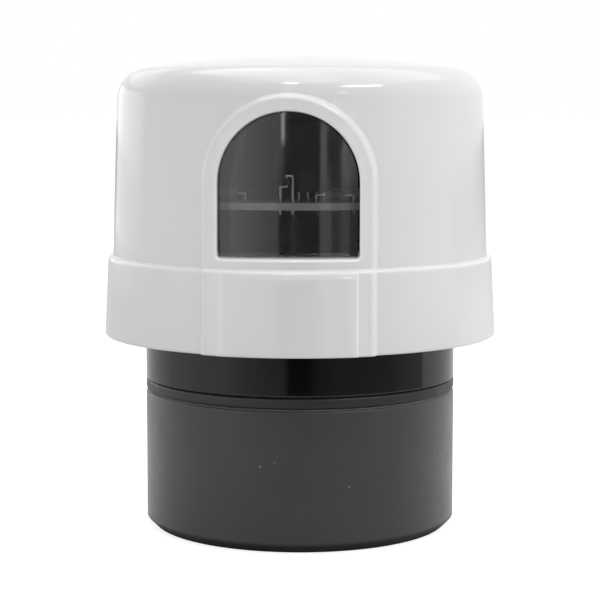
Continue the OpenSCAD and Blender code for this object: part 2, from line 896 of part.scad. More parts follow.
// Section of a contact: two flared leaves astride the blade's hook, joined by a web with a flange
module contact_profile() {
    inner = blade_in - turn_gap;
    outer = blade_out + turn_gap;
    flange_end = terminal_at + tail_w;
    z_root = z_web - contact_t;
    z_bend = leaf_top - leaf_flare_h;
    polygon([
        [inner - contact_t, z_root], [flange_end, z_root], [flange_end, z_web],
        [outer + contact_t, z_web], [outer + contact_t, z_bend],
        [outer + contact_t + leaf_flare, leaf_top], [outer + leaf_flare, leaf_top],
        [outer, z_bend], [outer, z_web], [inner, z_web], [inner, z_bend],
        [inner - leaf_flare, leaf_top], [inner - leaf_flare - contact_t, leaf_top],
        [inner - contact_t, z_bend]
    ]);
}

// A spring contact: the bent section, its flange trimmed to a tail with a screw hole
module contact(at, w) {
    half = blade_deg(w) / 2;
    a0 = at - half - hook_deg - leaf_past_deg;
    color("goldenrod")
        difference() {
            rotate([0, 0, a0])
                rotate_extrude(angle = at + half - a0)
                    contact_profile();
            translate([0, 0, z_web - contact_t - past])
                linear_extrude(height = contact_t + 2 * past)
                    difference() {
                        circle(terminal_at + 2 * tail_w);
                        circle(blade_out + turn_gap + contact_t + tail_bend);
                        rotate(at) {
                            translate([blade_r, -tail_w / 2])
                                square([terminal_at - blade_r, tail_w]);
                            translate([terminal_at, 0])
                                circle(d = tail_w);
                        }
                    }
            rotate([0, 0, at])
                translate([terminal_at, 0, z_web - contact_t - past])
                    cylinder(r = terminal_screw_r + slip_gap, h = contact_t + 2 * past);
        }
}

module line_contact() { contact(line_deg, live_blade_w); }
module load_contact() { contact(load_deg, live_blade_w); }
module neutral_contact() { contact(neutral_deg, neutral_blade_w); }

module contact_screws() {
    color("silver")
        for (b = blades())
            rotate([0, 0, b[0]])
                translate([terminal_at, 0, z_web - contact_t])
                    rotate([180, 0, 0])
                        screw(terminal_screw_r, terminal_screw_len - fit_gap, terminal_head_r,
                              terminal_head_h);
}

module bottom_screws() {
    color("silver")
        for (a = bottom_boss_angles)
            rotate([0, 0, a])
                translate([bottom_boss_at, 0, bottom_head_h])
                    rotate([180, 0, 0])
                        screw(screw_r, bottom_screw_len, screw_head_r, screw_head_h);
}

// Two threaded inserts, open at the receptacle's underside
module mounting_inserts() {
    color("goldenrod")
        for (s = [-1, 1])
            translate([s * mount_pitch / 2, 0, 0])
                difference() {
                    cylinder(r = insert_r, h = insert_len);
                    translate([0, 0, -past])
                        cylinder(d = insert_bore_d, h = insert_len + 2 * past);
                }
}

cover();
window_lens();
plug_base();
gasket();
circuit_board();
board_screws();
light_sensor();
relay();
film_capacitor();
filter_capacitor();
surge_varistor();
bridge_rectifier();
dropper_resistor();
signal_resistors();
switching_transistor();
zener_diode();
component_leads();
solder_joints();
line_blade();
load_blade();
neutral_blade();
blade_rivets();
line_wire();
load_wire();
neutral_wire();
receptacle_body();
receptacle_bottom();
line_contact();
load_contact();
neutral_contact();
contact_screws();
bottom_screws();
mounting_inserts();
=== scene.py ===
"""Looks of the twist-lock photocell switch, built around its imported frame.

Sizes are in millimetres, turned into metres where a mesh is made. Z is up and the window faces -Y.
"""
import json
import math

import bpy
import numpy as np
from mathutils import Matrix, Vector
from mathutils.geometry import delaunay_2d_cdt


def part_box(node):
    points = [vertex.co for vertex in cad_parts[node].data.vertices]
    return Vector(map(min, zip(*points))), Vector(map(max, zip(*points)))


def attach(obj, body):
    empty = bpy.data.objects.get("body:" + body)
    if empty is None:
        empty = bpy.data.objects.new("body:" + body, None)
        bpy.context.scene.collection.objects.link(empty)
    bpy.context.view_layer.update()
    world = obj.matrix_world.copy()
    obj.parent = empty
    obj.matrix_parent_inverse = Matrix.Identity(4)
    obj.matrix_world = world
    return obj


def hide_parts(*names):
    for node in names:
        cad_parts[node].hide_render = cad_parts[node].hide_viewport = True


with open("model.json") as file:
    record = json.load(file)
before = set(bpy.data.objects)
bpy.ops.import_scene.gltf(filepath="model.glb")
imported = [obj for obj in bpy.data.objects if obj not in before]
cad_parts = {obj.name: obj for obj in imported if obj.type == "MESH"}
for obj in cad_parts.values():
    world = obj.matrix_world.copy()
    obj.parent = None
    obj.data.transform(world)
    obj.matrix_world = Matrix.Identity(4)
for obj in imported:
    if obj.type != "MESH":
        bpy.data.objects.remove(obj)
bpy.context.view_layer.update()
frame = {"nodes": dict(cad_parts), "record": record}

MM = 0.001
PHOTOCONTROL = "photocontrol"

# Cover: its box comes from the frame, its drafts, rounds and walls are those of the moulding
cover_low, cover_high = (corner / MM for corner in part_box("cover"))
COVER_R = round(cover_high.x, 1)
Z_SKIRT = cover_low.z
Z_TOP = cover_high.z
Z_LEDGE = Z_SKIRT + 16.9
SKIRT_DRAFT = math.radians(3)
DOME_DRAFT = math.radians(2)
LEDGE_W = 1.0
COVER_WALL = 2.2
EDGE_R = 6.5
CROWN_RISE = 2.3
FOOT_ROUND = 0.5
LEDGE_ROUND = 0.8
LEDGE_FILLET = 0.2

# Window, its raised frame and the panel below it
WINDOW_HALF = 13.9
CORNER_R = 0.7
Z_SILL = Z_LEDGE + 2.1
Z_ARCH = Z_SILL + 14.6
SILL_RISE = 0.8
WINDOW_DRAW = 0.15
FRAME_HALF = 17.2
FRAME_PROUD = 1.2
PANEL_PROUD = 0.4
PANEL_HALF = 13.9
PANEL_RAMP = 0.5
PANEL_TOP = Z_LEDGE - 0.1
PANEL_EASE = 2.6
LIP_W = 0.6
LIP_H = 0.6
FRAME_ROUND = 1.2
FRAME_FILLET = 0.35
FRAME_SLOPE = math.radians(65)
STEEPEST = math.radians(86)

# How much each kind of edge is lightened by a painted highlight, and half the width of its painted
# highlight line
FRAME_PAINTED_HIGHLIGHT = (0.25, 0.7)
LIP_PAINTED_HIGHLIGHT = (1.0, 0.36)
PANEL_PAINTED_HIGHLIGHT = (0.55, 0.5)
LEDGE_PAINTED_HIGHLIGHT = (0.55, 0.7)

# Inside of the cover
BEAD_H = 0.7
BEAD_W = 1.4
Z_BEAD = Z_SKIRT + 2.1
RIBS = 12
RIB_T = 1.4
RIB_IN = 37.9
RIB_SINK = COVER_WALL / 3
Z_RIB = Z_SKIRT + 4.8

# Rails that hold the lens: their section is given by x and by the depth in from the wall
RAIL_LIFT = 0.7
RAIL_SECTION = [(15.5, -0.6), (17.8, -0.6), (17.8, 3.2), (14.2, 3.2), (14.2, 1.9), (15.5, 1.9)]

# Sealing bead under the gasket
SEAL_R = 29.5
SEAL_W = 1.8
SEAL_CLEAR = 0.02

# The mesh round the window: half its width, its ends from the ledge and over the frame, its clearance
PATCH_HALF = 21.5
OUTSIDE_START = 0.6
OUTSIDE_OVER = 2.4
CAVITY_START = -1.0
CAVITY_OVER = 1.0
PATCH_CLEAR = 0.8

# Height over the ledge from which the dome's wall is plain
WALL_START = 1.0

# Fineness of the meshes: steps along each stretch, longest rows and what counts as touching
FOOT_STEPS = 5
LEDGE_STEPS = 8
FILLET_STEPS = 4
EASE_STEPS = 5
EDGE_STEPS = 14
CROWN_STEPS = 9
CAVITY_EDGE_STEPS = 8
CAVITY_CROWN_STEPS = 5
ROUND_STEPS = 7
SILL_STEPS = 10
CORNER_STEPS = 5
LEG_STEPS = 12
WINDOW_ARCH_STEPS = 24
FRAME_ARCH_STEPS = 30
PANEL_STEPS = 9
RAMP_STEPS = 4
PATCH_STEPS = 28
BACK_STEPS = 132
SEAL_STEPS = 120
SEAL_ARC_STEPS = 8
LOW_ROW = 4.0
HIGH_ROW = 2.2
DIGITS = 4
TINY = 1e-9
TOUCHING = 1e-6
SHARP = math.radians(35)

# Finishes: how far the gloss varies and how much finer its patches are than the colour's
GLOSS_VARY = 0.15
GLOSS_FINER = 2.3

# Dust on the receptacle: cells per metre, a speck's rim, the share of bare cells and of the colour
DUST_CELLS = 330.0
DUST_RIM = (0.05, 0.11)
DUST_BARE = 0.9
DUST_SHARE = 0.2

# Painted shade on the receptacle's foot: its height, how it fades out, and where it starts from the axis
FOOT_SHADE_HIGH = 1.9
FOOT_SHADE_FADE = 0.3
FOOT_SHADE_R = 30.5

# Weave of the board: the scale of its waves and how much they show
WEAVE_SCALE = 420.0
WEAVE_SHARE = 0.25

# Studio: lengths in metres, angles in degrees from the front, levels of light
AMBIENT = 0.53
FLOOR_HALF = 20.0
FLOOR_LOW = -0.0001
FLOOR_PALE = 0.65
FLOOR_SEEN = 0.5
FLOOR_GLOW = 0.77
CARD_R = 0.2
CARD_HIGH = 0.1
CARD_FROM = -100
CARD_TO = 98
CARD_STEPS = 60
CARD_PEAK = 6.0
# Levels on the card by angle: along its foot, and left and right of the dark middle higher up
CARD_FOOT = [
    (-100, 0.7), (-82, 0.8), (-50, 0.78), (-33, 0.5), (-16, 0.35), (-7, 0.3), (-4, 0.03), (9, 0.03),
    (14, 0.12), (31, 0.2), (67, 0.25), (77, 0.36), (98, 0.4),
]
CARD_LEFT = [(-100, 1.0), (-50, 1.75), (-34, 1.95)]
CARD_UPPER_LEFT = [*CARD_LEFT, (-24, 1.6), (-14, 1.15), (-9, 1.05)]
CARD_UPPER_RIGHT = [
    (13.5, 0.03), (15, 1.5), (17, 1.5), (18.5, 0.25), (24.5, 0.25), (26.5, 1.7), (31, 1.8), (34, 1.0),
    (98, 1.0),
]
# Rows of the card above its foot: the heights between which the row below fades into it, and its levels
CARD_ROWS = [
    (0.025, 0.045, [
        *CARD_LEFT, (-24, 1.5), (-14, 1.0), (-8.5, 0.9), (-7, 0.03), (13, 0.03), (14.5, 1.0), (19, 1.0),
        (21, 0.35), (24, 0.4), (26.5, 0.85), (29, 0.7), (32, 0.5), (36, 1.0), (98, 1.0),
    ]),
    (0.074, 0.086, [*CARD_UPPER_LEFT, (-6.5, 0.95), (-4, 0.03), *CARD_UPPER_RIGHT]),
    (0.089, 0.092, [
        *CARD_UPPER_LEFT, (-6.7, 1.0), (-6.1, 5.5), (-5.3, 5.5), (-4.2, 0.5), (-2, 0.03), *CARD_UPPER_RIGHT,
    ]),
]
# Lamps: name, place, aim, power in watts, width and height
LIGHTS = [
    ("top", (0.15, 0.0, 1.05), (0, 0, 0.07), 9.0, 1.6, 1.6),
    ("low_left", (-0.85, 0.72, 0.13), (0, 0, 0.06), 0.7, 0.9, 0.3),
]
# Lamps round the object that don't show in the gloss
FILLS = [
    ("front_left", (-0.87, -0.5, 0.45), (0, 0, 0.06), 2.3, 0.7, 0.7),
    ("front_right", (0.94, -0.34, 0.45), (0, 0, 0.06), 3.6, 0.7, 0.7),
    ("rim_left", (-0.85, 0.72, 0.3), (0, 0, 0.06), 1.1, 0.9, 0.6),
    ("rim_right", (0.95, 0.28, 0.2), (0, 0, 0.06), 2.1, 0.9, 0.6),
]
# Lamps that only show in the gloss
SPARKS = [
    ("over", (-0.1, -0.05, 1.0), (0, 0, 0.07), 2.6, 1.4, 0.5),
    ("behind_left", (-0.62, 0.68, 0.55), (0, 0, 0.1), 0.4, 0.7, 0.35),
    ("spark_middle", (-0.03, -0.47, 0.64), (0, -0.036, 0.094), 0.3, 0.07, 0.05),
    ("spark_right", (0.42, -0.4, 0.54), (0.015, -0.034, 0.094), 0.8, 0.3, 0.05),
    ("spark_low", (0.36, -0.65, 0.32), (0.01, -0.036, 0.092), 0.08, 0.04, 0.04),
]

# Camera, fitted to the photograph's frame of 600 by 600
CAMERA_AWAY = 386.1
CAMERA_UP = 89.15
CAMERA_TURN = math.radians(3.45)
CAMERA_TILT = math.radians(6.1)
CAMERA_LENS = 107.6
CAMERA_SENSOR = 36.0
CAMERA_NEAR = 0.01


# Profiles of the cover in (r, z), each row with its outward normal


def skirt_r(z):
    return COVER_R - (z - Z_SKIRT) * math.tan(SKIRT_DRAFT)


def dome_r(z):
    return skirt_r(Z_LEDGE) - LEDGE_W - (z - Z_LEDGE) * math.tan(DOME_DRAFT)


def unit(v):
    return v / np.linalg.norm(v)


def arc_rows(centre, radius, a0, a1, steps, side=1):
    """Rows along an arc from angle a0 to a1; side is -1 where the solid lies outside the arc."""
    angles = np.linspace(a0, a1, steps + 1)
    out = np.column_stack([np.cos(angles), np.sin(angles)])
    return np.hstack([np.asarray(centre) + radius * out, side * out])


def fillet_rows(before, corner, after, radius, steps):
    """Rows of the round that takes off a corner between two straight lines."""
    u = unit(before - corner)
    w = unit(after - corner)
    half = math.acos(np.clip(u @ w, -1, 1)) / 2
    centre = corner + unit(u + w) * radius / math.sin(half)
    start = corner + u * radius / math.tan(half) - centre
    end = corner + w * radius / math.tan(half) - centre
    a0 = math.atan2(start[1], start[0])
    turn = math.atan2(start[0] * end[1] - start[1] * end[0], start @ end)
    return arc_rows(centre, radius, a0, a0 + turn, steps, 1 if turn > 0 else -1)


def dome_arcs(inset):
    """Centre and radius of the dome's edge and of its crown, and the angles where they meet."""
    crown_half = dome_r(Z_TOP) - EDGE_R
    crown_r = (crown_half ** 2 + CROWN_RISE ** 2) / (2 * CROWN_RISE)
    z_crown = Z_TOP - crown_r
    slope = math.tan(DOME_DRAFT)
    line = dome_r(0) - EDGE_R / math.cos(DOME_DRAFT)
    a = 1 + slope ** 2
    b = line * slope + z_crown
    c = line ** 2 + z_crown ** 2 - (crown_r - EDGE_R) ** 2
    z = (b + math.sqrt(b ** 2 - a * c)) / a
    edge = np.array([line - z * slope, z])
    meet = math.atan2(z - z_crown, edge[0])
    return edge, EDGE_R - inset, np.array([0, z_crown]), crown_r - inset, meet


def outer_profile():
    """From the skirt's inner edge round the foot, up the skirt, over the ledge and the dome to the axis."""
    edge, edge_r, crown, crown_r, meet = dome_arcs(0)
    wall_end = edge + edge_r * np.array([math.cos(DOME_DRAFT), math.sin(DOME_DRAFT)])
    corners = [
        np.array([COVER_R - COVER_WALL, Z_SKIRT]),
        np.array([skirt_r(Z_SKIRT), Z_SKIRT]),
        np.array([skirt_r(Z_LEDGE), Z_LEDGE]),
        np.array([dome_r(Z_LEDGE), Z_LEDGE]),
        wall_end,
    ]
    rows = [[[*corners[0], 0, -1]]]
    rounds = [(FOOT_ROUND, FOOT_STEPS), (LEDGE_ROUND, LEDGE_STEPS), (LEDGE_FILLET, FILLET_STEPS)]
    for i, (radius, steps) in enumerate(rounds):
        rows.append(fillet_rows(*corners[i:i + 3], radius, steps))
    upper_skirt = np.linspace(Z_LEDGE - PANEL_EASE, rows[2][0][1], EASE_STEPS + 1)[:-1]
    rows.insert(2, [[skirt_r(z), z, math.cos(SKIRT_DRAFT), math.sin(SKIRT_DRAFT)] for z in upper_skirt])
    rows.append(arc_rows(edge, edge_r, DOME_DRAFT, meet, EDGE_STEPS))
    rows.append(arc_rows(crown, crown_r, meet, math.pi / 2, CROWN_STEPS)[1:])
    return np.vstack(rows)


def inner_profile():
    """From the skirt's inner edge up the cavity, over the snap bead and the step, to the axis."""
    edge, edge_r, crown, crown_r, meet = dome_arcs(COVER_WALL)
    z_step = Z_LEDGE - COVER_WALL
    bore = [
        [skirt_r(Z_SKIRT) - COVER_WALL, Z_SKIRT],
        [skirt_r(Z_BEAD - BEAD_W) - COVER_WALL, Z_BEAD - BEAD_W],
        [skirt_r(Z_BEAD) - COVER_WALL - BEAD_H, Z_BEAD - BEAD_W / 2],
        [skirt_r(Z_BEAD) - COVER_WALL - BEAD_H, Z_BEAD],
        [skirt_r(Z_BEAD) - COVER_WALL, Z_BEAD],
        [skirt_r(z_step) - COVER_WALL, z_step],
        [dome_r(z_step) - COVER_WALL / math.cos(DOME_DRAFT), z_step],
    ]
    lower = [[r, z, -1, 0] for r, z in bore]
    return np.vstack([
        lower,
        arc_rows(edge, edge_r, DOME_DRAFT, meet, CAVITY_EDGE_STEPS, -1),
        arc_rows(crown, crown_r, meet, math.pi / 2, CAVITY_CROWN_STEPS, -1)[1:],
    ])


class Skin:
    """A revolved profile that can be raised over parts of its front, addressed by (x, s).

    s is the distance along the profile, and on the dome's wall it stands for a height z.
    """

    def __init__(self, profile, relief):
        self.profile = profile
        self.relief = relief
        steps = np.hypot(*np.diff(profile[:, :2], axis=0).T)
        self.s = np.concatenate([[0], np.cumsum(steps)])
        wall = np.argmax(profile[:, 1] > Z_LEDGE + WALL_START)
        self.s_wall = self.s[wall]
        self.z_wall = profile[wall, 1]

    def height(self, s):
        return self.z_wall + (s - self.s_wall) * math.cos(DOME_DRAFT)

    def along(self, z):
        return self.s_wall + (z - self.z_wall) / math.cos(DOME_DRAFT)

    def section(self, s):
        return [np.interp(s, self.s, column) for column in self.profile.T]

    def at(self, x, s):
        """Points and outward normals on the front half. The relief grows across the underside."""
        x, s = np.broadcast_arrays(np.asarray(x, float), np.asarray(s, float))
        r, z, nr, nz = self.section(s)
        h, h_x, h_s = self.relief(x, self.height(s))
        under = np.clip(s / self.s[1], 0, 1)
        q = r + h * under
        q_x = h_x * under
        q_s = -nz + h_s * under
        depth = np.sqrt(q ** 2 - x ** 2)
        points = np.column_stack([x, -depth, z])
        along_x = np.column_stack([np.ones_like(x), -(q * q_x - x) / depth, np.zeros_like(x)])
        along_s = np.column_stack([np.zeros_like(x), -q * q_s / depth, nr])
        normals = np.cross(along_x, along_s)
        return points, normals / np.linalg.norm(normals, axis=1)[:, None]

    def ring(self, angles, s):
        """Points and normals round the axis at one place along the profile."""
        r, z, nr, nz = self.section(s)
        out = np.column_stack([np.sin(angles), -np.cos(angles)])
        level = np.full(len(angles), z)
        return np.column_stack([r * out, level]), np.column_stack([nr * out, level * 0 + nz])


def no_relief(x, _):
    flat = np.zeros_like(x)
    return flat, flat, flat


# Relief of the cover's front: raised frame, panel and rounded window lip


def arch_distance(x, z, half):
    """Distance outside an arched outline with straight legs, and its slope in x and z."""
    above = np.maximum(z - Z_ARCH, 0)
    away = np.maximum(np.hypot(x, above), TINY)
    return away - half, x / away, above / away


def window_distance(x, z):
    """Distance outside the window's outline, with its two rounded lower corners."""
    d, d_x, d_z = arch_distance(x, z, WINDOW_HALF)
    over = np.maximum(np.abs(x) - (WINDOW_HALF - CORNER_R), 0)
    below = np.maximum(Z_SILL + CORNER_R - z, 0)
    away = np.maximum(np.hypot(over, below), TINY)
    low = below > 0
    return (
        np.where(low, away - CORNER_R, d),
        np.where(low, np.sign(x) * over / away, d_x),
        np.where(low, -below / away, d_z),
    )


def frame_section():
    """Distance, height and slope across the frame's edge: a round, a steep wall and a fillet."""
    turns = np.linspace(0, FRAME_SLOPE, ROUND_STEPS + 1)
    top_d = FRAME_ROUND * np.sin(turns)
    top_h = FRAME_PROUD - FRAME_ROUND * (1 - np.cos(turns))
    low_d = FRAME_FILLET * np.sin(turns[::-2])
    low_h = FRAME_FILLET * (1 - np.cos(turns[::-2]))
    wall = (top_h[-1] - low_h[0]) / math.tan(FRAME_SLOPE)
    low_d = top_d[-1] + wall + low_d[0] - low_d
    d = np.concatenate([top_d, low_d])
    h = np.concatenate([top_h, low_h])
    slope = -np.tan(np.concatenate([turns, turns[::-2]]))
    return d - d[-1] + FRAME_FILLET, h, slope


def lip_section():
    """Distance, drop and slope across the window's rounded lip."""
    turns = np.linspace(math.pi / 2, 0, ROUND_STEPS + 1)
    slope = np.tan(np.minimum(turns, STEEPEST)) * LIP_H / LIP_W
    return LIP_W * (1 - np.sin(turns)), LIP_H * (1 - np.cos(turns)), slope


FRAME_D, FRAME_H, FRAME_TAN = frame_section()
LIP_D, LIP_DROP, LIP_TAN = lip_section()


def ease(t):
    """Smooth step from 0 to 1, and its slope."""
    t = np.clip(t, 0, 1)
    return t * t * (3 - 2 * t), 6 * t * (1 - t)


def front_relief(x, z):
    """How far the front stands out from the revolved wall, and its slopes in x and z."""
    d, d_x, d_z = arch_distance(x, z, FRAME_HALF)
    h = np.interp(d, FRAME_D, FRAME_H)
    tan = np.interp(d, FRAME_D, FRAME_TAN, left=0, right=0)
    h_x = tan * d_x
    h_z = tan * d_z
    across, across_tan = ease((PANEL_HALF - np.abs(x)) / PANEL_RAMP)
    upright, upright_tan = ease((PANEL_TOP - z) / PANEL_EASE)
    h = h + PANEL_PROUD * across * upright
    h_x = h_x - PANEL_PROUD * across_tan / PANEL_RAMP * np.sign(x) * upright
    h_z = h_z - PANEL_PROUD * across * upright_tan / PANEL_EASE
    d, d_x, d_z = window_distance(x, z)
    tan = np.interp(d, LIP_D, LIP_TAN, right=0)
    h = h - np.interp(d, LIP_D, LIP_DROP)
    return h, h_x + tan * d_x, h_z + tan * d_z


# Outlines in (x, z) that the cover's mesh follows


def window_outline(offset, sill=Z_SILL):
    """The window's closed outline moved outwards, from the middle of the sill, anticlockwise."""
    half = WINDOW_HALF + offset
    round_r = CORNER_R + offset
    flat = WINDOW_HALF - CORNER_R
    low = sill + CORNER_R
    right = [[x, low - round_r] for x in np.linspace(0, flat, SILL_STEPS + 1)[:-1]]
    for a in np.linspace(-math.pi / 2, 0, CORNER_STEPS + 1):
        right.append([flat + round_r * math.cos(a), low + round_r * math.sin(a)])
    for z in np.linspace(low, Z_ARCH, LEG_STEPS + 1)[1:-1]:
        right.append([half, z])
    for a in np.linspace(0, math.pi / 2, WINDOW_ARCH_STEPS + 1):
        right.append([half * math.cos(a), Z_ARCH + half * math.sin(a)])
    left = [[-x, z] for x, z in right[-2:0:-1]]
    return np.array(right + left)


def frame_outline(offset, z_foot):
    """The frame's outline moved outwards, from its right foot over the arch to its left foot."""
    half = FRAME_HALF + offset
    right = [[half, z] for z in np.linspace(z_foot, Z_ARCH, LEG_STEPS + 1)[:-1]]
    for a in np.linspace(0, math.pi / 2, FRAME_ARCH_STEPS + 1):
        right.append([half * math.cos(a), Z_ARCH + half * math.sin(a)])
    left = [[-x, z] for x, z in right[-2::-1]]
    return np.array(right + left)


def add_mesh(name, points, faces):
    """A new object in the scene, points in metres."""
    mesh = bpy.data.meshes.new(name)
    mesh.from_pydata(points, [], faces)
    piece = bpy.data.objects.new(name, mesh)
    bpy.context.scene.collection.objects.link(piece)
    return piece


class Shell:
    """Collects points, faces and the smooth normals of the faces that have them."""

    def __init__(self):
        self.points = []
        self.normals = []
        self.faces = []
        self.smooth = []
        self.inward = False

    def add(self, points, normals):
        start = len(self.points)
        self.points.extend(points)
        self.normals.extend(normals)
        return list(range(start, len(self.points)))

    def face(self, corners, smooth=True):
        """One face. While the shell is built inward it is turned over and keeps its flat edges."""
        self.faces.append(corners[::-1] if self.inward else corners)
        self.smooth.append(smooth and not self.inward)

    def strip(self, near, far, closed=False, smooth=True):
        """Quads between two rows of points, facing the side where near runs right below far."""
        pairs = list(zip(near, far))
        if closed:
            pairs.append(pairs[0])
        for (a, b), (c, d) in zip(pairs, pairs[1:]):
            self.face([a, c, d, b], smooth)

    def fill(self, lines, inside, keep):
        """Triangles between lines of (index, place) pairs over the plane, where keep says so."""
        index = []
        places = []
        edges = []
        for line in lines:
            edges.extend((len(index) + i, len(index) + i + 1) for i in range(len(line) - 1))
            index.extend(i for i, _ in line)
            places.extend(place for _, place in line)
        index.extend(i for i, _ in inside)
        places.extend(place for _, place in inside)
        done = delaunay_2d_cdt([Vector(place) for place in places], edges, [], 0, TOUCHING)
        where, _, triangles, origins = done[:4]
        for corners in triangles:
            middle = sum((where[i] for i in corners), Vector((0, 0))) / len(corners)
            if keep(middle.x, middle.y):
                self.face([index[origins[i][0]] for i in corners])

    def build(self, name):
        """One object, its equal points joined."""
        keys = [tuple(np.round(p, DIGITS)) for p in self.points]
        number = {key: i for i, key in enumerate(dict.fromkeys(keys))}
        faces = [[number[keys[i]] for i in corners] for corners in self.faces]
        piece = add_mesh(name, [Vector(key) * MM for key in number], faces)
        piece.data.shade_smooth()
        piece.data.set_sharp_from_angle(angle=SHARP)
        loops = []
        for corners, smooth in zip(self.faces, self.smooth):
            loops.extend(tuple(self.normals[i]) if smooth else (0.0, 0.0, 0.0) for i in corners)
        piece.data.normals_split_custom_set(loops)
        return piece


# The cover's mesh


def mirrored(half):
    """Places to both sides of the middle, from left to right, each of them once."""
    half = np.unique(np.round(half, DIGITS + 2))
    return np.concatenate([-half[::-1], half[1:]])


def finer(rows, longest):
    """Rows with their long gaps split evenly."""
    parts = [
        np.linspace(a, b, math.ceil((b - a) / longest) + 1)[:-1]
        for a, b in zip(rows, rows[1:])
    ]
    return np.concatenate([*parts, rows[-1:]])


def front_columns():
    """Places across the front: even over the panel, close together at its edge and the frame's."""
    return mirrored(np.concatenate([
        np.linspace(0, PANEL_HALF - PANEL_RAMP, PANEL_STEPS + 1),
        np.linspace(PANEL_HALF - PANEL_RAMP, PANEL_HALF, RAMP_STEPS + 1),
        FRAME_HALF + FRAME_D,
        np.linspace(FRAME_HALF + FRAME_D[-1], PATCH_HALF, RAMP_STEPS + 1),
    ]))


def back_angles(skin, s):
    """Angles from the front patch's right side round the back to its left side."""
    side = math.asin(PATCH_HALF / skin.section(s)[0])
    return np.linspace(side, 2 * math.pi - side, BACK_STEPS + 1)[1:-1]


def indices(line):
    return [i for i, _ in line]


def placed(shell, skin, outline):
    """Points of an outline on the skin, as (index, place) pairs."""
    return list(zip(shell.add(*skin.at(outline[:, 0], skin.along(outline[:, 1]))), outline))


def raised_front(shell, skin, foot, columns, z_foot):
    """The frame's edge and the window's lip as strips. Returns the lines beside them and the lip's edge."""
    frames = []
    for offset in FRAME_D:
        outline = frame_outline(offset, z_foot)
        right = foot[np.argmin(np.abs(columns - FRAME_HALF - offset))]
        left = foot[np.argmin(np.abs(columns + FRAME_HALF + offset))]
        frames.append([(right, outline[0]), *placed(shell, skin, outline[1:-1]), (left, outline[-1])])
    lips = [placed(shell, skin, window_outline(offset)) for offset in LIP_D]
    for near, far in zip(frames, frames[1:]):
        shell.strip(indices(far), indices(near))
    for near, far in zip(lips, lips[1:]):
        shell.strip(indices(far), indices(near), closed=True)
    return [frames[0], frames[-1], lips[-1] + lips[-1][:1]], indices(lips[0])


def plain_front(shell, skin, *_):
    """The window's edge on the cavity's wall, which has no frame to follow."""
    edge = placed(shell, skin, window_outline(-WINDOW_DRAW, sill=Z_SILL + SILL_RISE))
    return [edge + edge[:1]], indices(edge)


def off_frame(x, z):
    """Whether a place is clear of the strips of the frame's edge and the window's lip."""
    d_frame = arch_distance(x, z, FRAME_HALF)[0]
    return window_distance(x, z)[0] > LIP_D[-1] and not FRAME_D[0] < d_frame < FRAME_D[-1]


def off_hole(x, z):
    return z < Z_SILL + SILL_RISE or arch_distance(x, z, WINDOW_HALF - WINDOW_DRAW)[0] > 0


def wrap(shell, skin, z_low, z_high, front, keep, half):
    """A whole skin: a grid low on the front, the patch round the window, the back and the crown."""
    s_low = skin.along(z_low)
    s_high = skin.s[np.argmax(skin.height(skin.s) > z_high)]
    columns = front_columns()
    low_rows = finer(np.append(skin.s[skin.s < s_low], s_low), LOW_ROW)
    arc = (skin.s >= skin.s_wall) & (skin.s <= s_high)
    high_rows = finer(np.append(s_low, skin.s[arc]), HIGH_ROW)[1:]
    grid = [shell.add(*skin.at(columns, s)) for s in low_rows]
    for near, far in zip(grid, grid[1:]):
        shell.strip(near, far)
    lines, edge = front(shell, skin, grid[-1], columns, z_low)

    high_z = skin.height(high_rows)
    left = shell.add(*skin.at(-PATCH_HALF, high_rows))
    right = shell.add(*skin.at(PATCH_HALF, high_rows))
    top_x = np.linspace(-PATCH_HALF, PATCH_HALF, PATCH_STEPS + 1)
    top = [left[-1], *shell.add(*skin.at(top_x[1:-1], high_rows[-1])), right[-1]]
    outline = [(i, (x, z_low)) for i, x in zip(grid[-1], columns)]
    outline += [(i, (PATCH_HALF, z)) for i, z in zip(right[:-1], high_z)]
    outline += [(i, (x, high_z[-1])) for i, x in zip(top[::-1], top_x[::-1])]
    outline += [(i, (-PATCH_HALF, z)) for i, z in zip(left[-2::-1], high_z[-2::-1])]
    inside = []
    for s, z in zip(high_rows[:-1], high_z):
        row = [x for x in top_x[1:-1] if arch_distance(x, z, half)[0] > PATCH_CLEAR]
        inside += zip(shell.add(*skin.at(row, s)), [(x, z) for x in row])
    shell.fill([outline + outline[:1], *lines], inside, keep)

    sides = [(row[-1], row[0]) for row in grid] + list(zip(right, left))
    back = []
    for s, (first, last) in zip(np.append(low_rows, high_rows), sides):
        back.append([first, *shell.add(*skin.ring(back_angles(skin, s), s)), last])
    for near, far in zip(back, back[1:]):
        shell.strip(near, far)

    ring = top + back[-1][1:-1]
    front_angles = np.arcsin(top_x / skin.section(s_high)[0])
    angles = np.append(front_angles, back_angles(skin, s_high))
    for s in skin.s[skin.s > s_high][:-1]:
        above = shell.add(*skin.ring(angles, s))
        shell.strip(ring, above, closed=True)
        ring = above
    pole = shell.add(*skin.ring(np.zeros(1), skin.s[-1]))[0]
    for a, b in zip(ring, ring[1:] + ring[:1]):
        shell.face([a, b, pole])
    return edge


def prism(shell, lower, upper):
    """A closed prism between two like rows of points, the lower one anticlockwise from above."""
    near = shell.add(lower, np.zeros((len(lower), 3)))
    far = shell.add(upper, np.zeros((len(upper), 3)))
    shell.strip(near, far, closed=True, smooth=False)
    shell.face(near[::-1], smooth=False)
    shell.face(far, smooth=False)


def skirt_ribs(shell):
    """Upright ribs inside the skirt, between the snap flange and the ledge."""
    r_out = skirt_r(Z_RIB) - COVER_WALL + RIB_SINK
    for i in range(RIBS):
        a = 2 * math.pi * (i + 0.5) / RIBS
        out = np.array([math.cos(a), math.sin(a)])
        side = np.array([-math.sin(a), math.cos(a)]) * RIB_T / 2
        foot = [RIB_IN * out - side, r_out * out - side, r_out * out + side, RIB_IN * out + side]
        prism(shell, [[*p, Z_RIB] for p in foot], [[*p, Z_LEDGE - COVER_WALL / 2] for p in foot])


